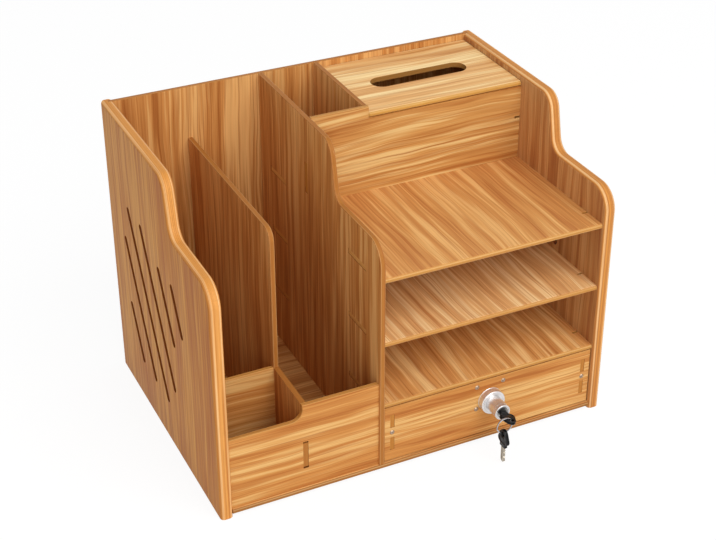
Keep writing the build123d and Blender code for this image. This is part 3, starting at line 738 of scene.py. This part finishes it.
# Lock: chrome collar and barrel on the drawer's face
lockLook = {
    "collarRadius": 15.0,
    "collarDepth": 9.5,
    "collarRim": 1.3,
    "collarPlay": 0.1,
    "footGroove": (0.9, 2.0),
    "footGrooveDepth": 0.3,
    "dish": ((3.1, 0.0), (2.7, 0.35), (1.0, 0.5), (0.0, 0.5)),  # out from the bore, and how deep
    "barrelRadius": 9.5,
    "barrelBack": 8.0,
    "barrelReach": 30.0,
    "barrelRim": 0.9,
    "bore": 6.5,
    "grooveBack": 4.2,
    "grooveWidth": 0.7,
    "grooveDepth": 0.45,
    "grooveSlope": 0.15,
    "lip": ((1.5, 0.0), (1.75, 0.35)),  # in from the edge, and how deep
    "mouth": ((0.35, 0.4), (0.0, 0.75)),  # out from the bore, and how deep
    "collarRimSteps": 7,
    "barrelRimSteps": 6,
}


def grooveProfile(radius, start, end, cut, slope):
    floor = radius - cut
    return [(radius, start), (floor, start - slope), (floor, end + slope), (radius, end)]


def makeCollar(look):
    radius, depth, rim = look["collarRadius"], look["collarDepth"], look["collarRim"]
    inner = look["barrelRadius"] + look["collarPlay"]
    start, end = look["footGroove"]
    cut = look["footGrooveDepth"]
    profile = [(inner, 0.0), (radius, 0.0)] + grooveProfile(radius, -start, -end, cut, cut)
    profile += cornerArc((radius - rim, -(depth - rim)), rim, 0, -90, look["collarRimSteps"])
    profile += [(inner + out, -depth + sunk) for out, sunk in look["dish"]]
    mesh = turnedMesh("lockCollar", profile)
    finishPiece("lockCollar", mesh, chrome, "drawer", ["lock_collar"])


def makeBarrel(look):
    radius, bore, rim = look["barrelRadius"], look["bore"], look["barrelRim"]
    face = -look["barrelReach"]
    end = face + look["grooveBack"]
    start = end + look["grooveWidth"]
    profile = [(bore, look["barrelBack"]), (radius, look["barrelBack"])]
    profile += grooveProfile(radius, start, end, look["grooveDepth"], look["grooveSlope"])
    profile += cornerArc((radius - rim, face + rim), rim, 0, -90, look["barrelRimSteps"])
    profile += [(radius - inward, face + sunk) for inward, sunk in look["lip"]]
    profile += [(bore + out, face + sunk) for out, sunk in look["mouth"]]
    mesh = turnedMesh("lockBarrel", profile)
    finishPiece("lockBarrel", mesh, chrome, "drawer", ["lock_body"])


# Lock case behind the drawer front: plate with screw holes, and the rims that guide the bolt
caseLook = {
    "rise": 5.4,
    "plate": (44.0, 40.0),
    "corner": 3.0,
    "plateDepth": (6.0, 8.0),
    "plateRim": 0.2,
    "holes": (17.0, 15.0),
    "holeRadius": 1.6,
    "holeSides": 12,
    "barrelGrip": 0.4,
    "case": (27.0, 40.0),
    "caseDepth": (8.0, 15.6),
    "wall": 1.2,
    "wallRim": 0.1,
    "inset": 0.01,
    "closedDepth": 3.4,
    "overlap": 2.0,
    "boltHalf": 8.3,
}


def makePlate(look, place):
    wide, tall = (size / 2 for size in look["plate"])
    corner = look["corner"]
    outline = []
    for x, y, start in ((1, 1, 0), (-1, 1, 90), (-1, -1, 180), (1, -1, 270)):
        outline += cornerArc((x * (wide - corner), y * (tall - corner)), corner, start, start + 90)
    loops = [outline]
    across, up = look["holes"]
    for x in (-1, 1):
        for y in (-1, 1):
            loops.append(roundHole((x * across, y * up), look["holeRadius"], look["holeSides"]))
    loops.append(roundHole((0, -look["rise"]), lockLook["barrelRadius"] - look["barrelGrip"]))
    front, back = look["plateDepth"]
    return flatSolid("lockPlate", loops, -back, -front, look["plateRim"], place)


def makeRims(look, place):
    # closed all round next to the plate, and open at the top behind, where the bolt comes out
    wide, tall = (size / 2 for size in look["case"])
    inWide, inTall = wide - look["wall"], tall - look["wall"]
    top, bolt = tall - look["inset"], look["boltHalf"]
    front, back = look["caseDepth"]
    step = -front - look["closedDepth"]
    closed = [boxOutline(wide, top), boxOutline(inWide, inTall)]
    right = [(wide, top), (bolt, top), (bolt, inTall), (inWide, inTall), (inWide, -inTall)]
    opened = right + mirrored(right) + [(-wide, -top), (wide, -top)]
    return [
        flatSolid("lockRim", closed, step, -front, look["wallRim"], place),
        flatSolid("lockRimBack", [opened], -back, step + look["overlap"], look["wallRim"], place),
    ]


def makeCase(look):
    centre = lockCentre + Vector((0, 0, look["rise"] / perMetre))
    place = Matrix.Translation(centre) @ Matrix.Rotation(pi / 2, 4, "X")
    mesh = joinMeshes("lockCase", [makePlate(look, place)] + makeRims(look, place))
    finishPiece("lockCase", mesh, caseSteel, "drawer", [])


makeCollar(lockLook)
makeBarrel(lockLook)
makeCase(caseLook)
print("organizer: lock turned")

# Screws: domed cross heads, laid out by Geometry Nodes on the drawer's front
screwLook = {
    "headRadius": 2.8,
    "headHeight": 1.5,
    "headRings": 14,
    "headSpokes": 48,
    "ringSpread": 0.9,
    "crossLength": 1.75,
    "crossWidth": 0.55,
    "crossDepth": 0.85,
    "lengthFade": 0.4,
    "widthFade": 0.22,
    "crossTaper": 1.6,
    "tipDepth": 0.35,
    "thinnest": 0.05,
    "shankRadius": 1.45,
    "shankSides": 20,
    "lockShank": 9.9,
    "drawerShank": 19.8,
    "weldWithin": 0.000001,
    "sharpAngle": 40,
    "turnSeed": 7,
}


def headHeight(look, x, y):
    # dome of a ball, less the cross pressed into it
    radius, height, length = look["headRadius"], look["headHeight"], look["crossLength"]
    ball = (radius * radius + height * height) / (2 * height)
    dome = (ball * ball - x * x - y * y) ** 0.5 - (ball - height)
    arm, run = sorted((abs(x), abs(y)))
    inside = clamped((look["crossWidth"] - arm) / look["widthFade"])
    inside *= clamped((length - run) / look["lengthFade"])
    sunk = look["crossDepth"] * inside * max(look["tipDepth"], 1 - run / (length * look["crossTaper"]))
    return max(dome - sunk, look["thinnest"])


def makeScrewHead(look):
    rings, spokes = look["headRings"], look["headSpokes"]
    bm = bmesh.new()
    levels = []
    for ring in range(rings + 1):
        radius = look["headRadius"] * (ring / rings) ** look["ringSpread"]
        row = []
        for spoke in range(spokes):
            angle = 2 * pi * spoke / spokes
            x, y = radius * cos(angle), radius * sin(angle)
            z = headHeight(look, x, y)
            row.append(bm.verts.new((x / perMetre, y / perMetre, z / perMetre)))
        levels.append(row)
    skirt = [bm.verts.new((vertex.co.x, vertex.co.y, 0)) for vertex in levels[-1]]
    levels.append(skirt)
    for inner, outer in zip(levels, levels[1:]):
        for spoke in range(spokes):
            after = (spoke + 1) % spokes
            bm.faces.new((inner[spoke], outer[spoke], outer[after], inner[after]))
    bm.faces.new(list(reversed(skirt)))
    bmesh.ops.remove_doubles(bm, verts=bm.verts, dist=look["weldWithin"])
    bmesh.ops.recalc_face_normals(bm, faces=bm.faces)
    mesh = bpy.data.meshes.new("screwHead")
    bm.to_mesh(mesh)
    bm.free()
    mesh.shade_smooth()
    mesh.set_sharp_from_angle(angle=radians(look["sharpAngle"]))
    head = bpy.data.objects.new("screwHead", mesh)
    scene.collection.objects.link(head)
    return head


def makeScrewTree(look):
    tree = bpy.data.node_groups.new("screwRow", "GeometryNodeTree")
    addSockets(tree, "INPUT", "NodeSocketGeometry", "Geometry")
    addSockets(tree, "INPUT", "NodeSocketObject", "Head")
    addSockets(tree, "INPUT", "NodeSocketFloat", "Shank Radius")
    addSockets(tree, "INPUT", "NodeSocketInt", "Turn Seed")
    addSockets(tree, "INPUT", "NodeSocketMaterial", "Finish")
    addSockets(tree, "OUTPUT", "NodeSocketGeometry", "Geometry")
    given = tree.nodes.new("NodeGroupInput").outputs

    # Each head faces forward, turned about its own axis by chance
    head = addNode(tree, "GeometryNodeObjectInfo", {"Object": given["Head"]}).outputs["Geometry"]
    chance = {"Seed": given["Turn Seed"], 2: 0.0, 3: 2 * pi}
    spin = addNode(tree, "FunctionNodeRandomValue", chance, data_type="FLOAT").outputs[1]
    turn = joinAxes(tree, pi / 2, spin, 0.0)
    laid = {"Points": given["Geometry"], "Instance": head, "Rotation": turn}
    heads = addNode(tree, "GeometryNodeInstanceOnPoints", laid)

    # Shanks of unit length, stretched by the length that each point carries
    rod = {"Vertices": look["shankSides"], "Radius": given["Shank Radius"], "Depth": 1.0}
    shank = addNode(tree, "GeometryNodeMeshCylinder", rod).outputs[0]
    sunk = {"Geometry": shank, "Translation": (0.0, 0.0, -0.5)}
    moved = addNode(tree, "GeometryNodeTransform", sunk).outputs[0]
    length = addNode(tree, "GeometryNodeInputNamedAttribute", {"Name": "shank"}, data_type="FLOAT")
    laid.update({"Instance": moved, "Scale": joinAxes(tree, 1.0, 1.0, length.outputs[0])})
    shanks = addNode(tree, "GeometryNodeInstanceOnPoints", laid)

    both = tree.nodes.new("GeometryNodeJoinGeometry")
    tree.links.new(heads.outputs[0], both.inputs[0])
    tree.links.new(shanks.outputs[0], both.inputs[0])
    solid = addNode(tree, "GeometryNodeRealizeInstances", {"Geometry": both.outputs[0]}).outputs[0]
    done = addNode(tree, "GeometryNodeSetMaterial", {"Geometry": solid, "Material": given["Finish"]})
    addNode(tree, "NodeGroupOutput", {"Geometry": done.outputs[0]})
    return tree


def makeScrewPlaces(look):
    # one at each end of the drawer front and four round the lock, each with the length of its shank
    reach = look["headRadius"] / perMetre
    low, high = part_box("drawer_screws")
    middle = (low.z + high.z) / 2
    apart = [(x, lockCentre.y, middle) for x in (low.x + reach, high.x - reach)]
    low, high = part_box("lock_screws")
    rows = (low.z + reach, high.z - reach)
    grouped = [(x, lockCentre.y, z) for x in (low.x + reach, high.x - reach) for z in rows]
    lengths = [look["drawerShank"] / perMetre] * len(apart) + [look["lockShank"] / perMetre] * len(grouped)
    points = bpy.data.meshes.new("screwPlaces")
    points.from_pydata(apart + grouped, [], [])
    points.attributes.new("shank", "FLOAT", "POINT").data.foreach_set("value", lengths)
    holder = bpy.data.objects.new("screwPlaces", points)
    scene.collection.objects.link(holder)
    return holder


def makeScrews(look):
    holder = makeScrewPlaces(look)
    head = makeScrewHead(look)
    tree = makeScrewTree(look)
    modifier = holder.modifiers.new("screwRow", "NODES")
    modifier.node_group = tree
    sockets = {item.name: item.identifier for item in tree.interface.items_tree if item.in_out == "INPUT"}
    modifier[sockets["Head"]] = head
    modifier[sockets["Shank Radius"]] = look["shankRadius"] / perMetre
    modifier[sockets["Turn Seed"]] = look["turnSeed"]
    modifier[sockets["Finish"]] = screwSteel
    mesh = evaluatedMesh(holder)
    bpy.data.objects.remove(holder)
    bpy.data.objects.remove(head)
    mesh.name = "drawerScrews"
    replaced = ["drawer_screws", "lock_screws"]
    finishPiece("drawerScrews", mesh, screwSteel, "drawer", replaced, look["sharpAngle"])


makeScrews(screwLook)
print("organizer: screws set")

# Keys: black moulded bows on flat nickel blades
bowLook = {
    "length": 22.5,
    "thickness": 4.4,
    "rim": 0.7,
    "lobeRadius": 5.2,
    "lobePitch": 8.6,
    "lobeDrop": 9.3,
    "lobeSteps": 14,
    "endRadius": 6.4,
    "endSteps": 26,
    "neck": 10.0,
    "holeRadius": 3.3,
    "holeEdge": 5.6,
    "eyeWall": 1.15,
    "eyeSink": 0.15,
    "eyeRim": 0.45,
    "panelSink": 0.55,
    "panelEdge": 1.7,
    "panelShift": 0.2,
    "panelArc": (80, -50, 8),
    "sharpAngle": 38,
}
bladeLook = {
    "length": 21.0,
    "width": 7.0,
    "thickness": 2.0,
    "rim": 0.12,
    "tang": 9.6,
    "tip": 2.1,
    "cuts": (0.7, 1.3, 0.7, 1.3, 0.7),
    "firstCut": 5.1,
    "cutPitch": 3.2,
    "cutWidth": 2.9,
    "cutFlat": 0.3,
    "fluteMiddle": -0.9,
    "fluteWidth": 1.7,
    "fluteDepth": 0.45,
    "fluteStart": 1.0,
    "fluteEnd": 3.0,
    "flutePoint": 1.9,
    "floorSpread": 0.05,
    "floorStart": 0.8,
    "floorEnd": 2.6,
    "floorRim": 0.05,
    "sharpAngle": 38,
}
keyLean = 20.0


def makeBow(name, look, place, body, node):
    half, neck = look["lobePitch"] / 2, look["neck"] / 2
    lobe, drop, end = look["lobeRadius"], look["lobeDrop"], look["endRadius"]
    endY = end - look["length"]
    apart = hypot(half, -drop - endY)
    # the straight flank touches both circles; tilt is the way of its outward normal
    tilt = degrees(atan2(endY + drop, -half) + acos((lobe - end) / apart)) % 360 - 360
    start = degrees(acos((neck - half) / lobe))
    right = [(neck, 0.0)] + cornerArc((half, -drop), lobe, start, tilt, look["lobeSteps"])
    bottom = cornerArc((0, endY), end, tilt, -180 - tilt, look["endSteps"])
    outline = right + bottom + mirrored(right)
    holeY = look["holeEdge"] - look["length"]
    hole = roundHole((0, holeY), look["holeRadius"])
    eye = roundHole((0, holeY), look["holeRadius"] + look["eyeWall"])
    shift = look["panelShift"]
    panel = cornerArc((half - shift, -drop + shift), lobe - look["panelEdge"], *look["panelArc"])
    panel += mirrored(panel)
    top, rim = look["thickness"] / 2, look["rim"]
    layers = (
        ("Core", [outline, hole], top - look["panelSink"], rim),
        ("Rim", [outline, panel, eye], top, rim),
        ("Eye", [eye, hole], top - look["eyeSink"], look["eyeRim"]),
    )
    solids = []
    for part, loops, high, edge in layers:
        solids.append(flatSolid(name + part, loops, -high, high, edge, place))
    mesh = joinMeshes(name, solids)
    finishPiece(name, mesh, bowPlastic, body, [node], look["sharpAngle"])


def makeBlade(name, look, place, body, node):
    half, length, tip = look["width"] / 2, look["length"], look["tip"]
    reach, flat = look["cutWidth"] / 2, look["cutFlat"]
    edge = []
    for index, cut in enumerate(look["cuts"]):
        y = length - look["firstCut"] - index * look["cutPitch"]
        notch = [(half, y - reach), (half - cut, y - flat), (half - cut, y + flat), (half, y + reach)]
        edge = notch + edge
    outline = [(-half, -look["tang"]), (half, -look["tang"])] + edge
    outline += [(half, length - tip), (half - tip, length), (-half + tip, length), (-half, length - tip)]

    # A flute pressed into each side, and the thinner web at its floor
    left = look["fluteMiddle"] - look["fluteWidth"] / 2
    right = look["fluteMiddle"] + look["fluteWidth"] / 2
    start, end = look["fluteStart"], length - look["fluteEnd"]
    point = (look["fluteMiddle"], length - look["flutePoint"])
    flute = [(left, start), (right, start), (right, end), point, (left, end)]
    left, right = left - look["floorSpread"], right + look["floorSpread"]
    start, end = look["floorStart"], length - look["floorEnd"]
    web = [(left, start), (right, start), (right, end), (left, end)]
    high = look["thickness"] / 2
    low = high - look["fluteDepth"]
    skin = flatSolid(name + "Skin", [outline, flute], -high, high, look["rim"], place)
    floor = flatSolid(name + "Flute", [web], -low, low, look["floorRim"], place)
    mesh = joinMeshes(name, [skin, floor])
    finishPiece(name, mesh, keyNickel, body, [node], look["sharpAngle"])


def keyPlace(origin, across, along):
    across, along = Vector(across), Vector(along)
    axes = Matrix((across, along, across.cross(along))).transposed().to_4x4()
    return Matrix.Translation(origin) @ axes


lean = radians(keyLean)
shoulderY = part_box("key_bow")[1].y
leaning = keyPlace((lockCentre.x, shoulderY, lockCentre.z), (cos(lean), 0, -sin(lean)), (0, 1, 0))
ringCentre = Vector(joints["spare_swing"]["pos_m"])
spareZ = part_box("spare_key_bow")[0].z
hanging = keyPlace((ringCentre.x, ringCentre.y, spareZ), (0, -1, 0), (0, 0, -1))
for prefix, place, body in (("key", leaning, "key"), ("spareKey", hanging, "spare_key")):
    makeBow(prefix + "Bow", bowLook, place, body, body + "_bow")
    makeBlade(prefix + "Blade", bladeLook, place, body, body + "_blade")

# Split ring: two turns of flat wire that change places where they cross
ringLook = {
    "radius": 9.5,
    "halfWidth": 0.72,
    "halfHeight": 0.35,
    "squareness": 0.7,
    "wireSides": 10,
    "step": 0.38,
    "turns": 1.93,
    "perTurn": 72,
    "startAngle": 200,
    "crossStart": 0.92,
    "crossLength": 0.1,
    "sharpAngle": 50,
}


def squared(value, power):
    return abs(value) ** power * (1 if value > 0 else -1)


def makeRing(look):
    count, sides = int(look["turns"] * look["perTurn"]), look["wireSides"]
    vertices, faces = [], []
    for index in range(count + 1):
        turn = index / look["perTurn"]
        angle = 2 * pi * index / look["perTurn"] + radians(look["startAngle"])
        share = clamped((turn - look["crossStart"]) / look["crossLength"])
        shift = -look["step"] + 2 * look["step"] * share * share * (3 - 2 * share)
        for corner in range(sides):
            around = 2 * pi * corner / sides
            reach = look["radius"] + look["halfWidth"] * squared(cos(around), look["squareness"])
            depth = shift + look["halfHeight"] * squared(sin(around), look["squareness"])
            offset = Vector((reach * cos(angle), depth, reach * sin(angle)))
            vertices.append(tuple(ringCentre + offset / perMetre))
        if index < count:
            faces += bandFaces(sides, index, index + 1)
    faces.append(tuple(reversed(range(sides))))
    faces.append(tuple(range(count * sides, (count + 1) * sides)))
    mesh = bpy.data.meshes.new("splitRing")
    mesh.from_pydata(vertices, [], faces)
    finishPiece("splitRing", mesh, ringSteel, "ring", ["key_ring"], look["sharpAngle"])


makeRing(ringLook)
print("organizer: keys and ring made")
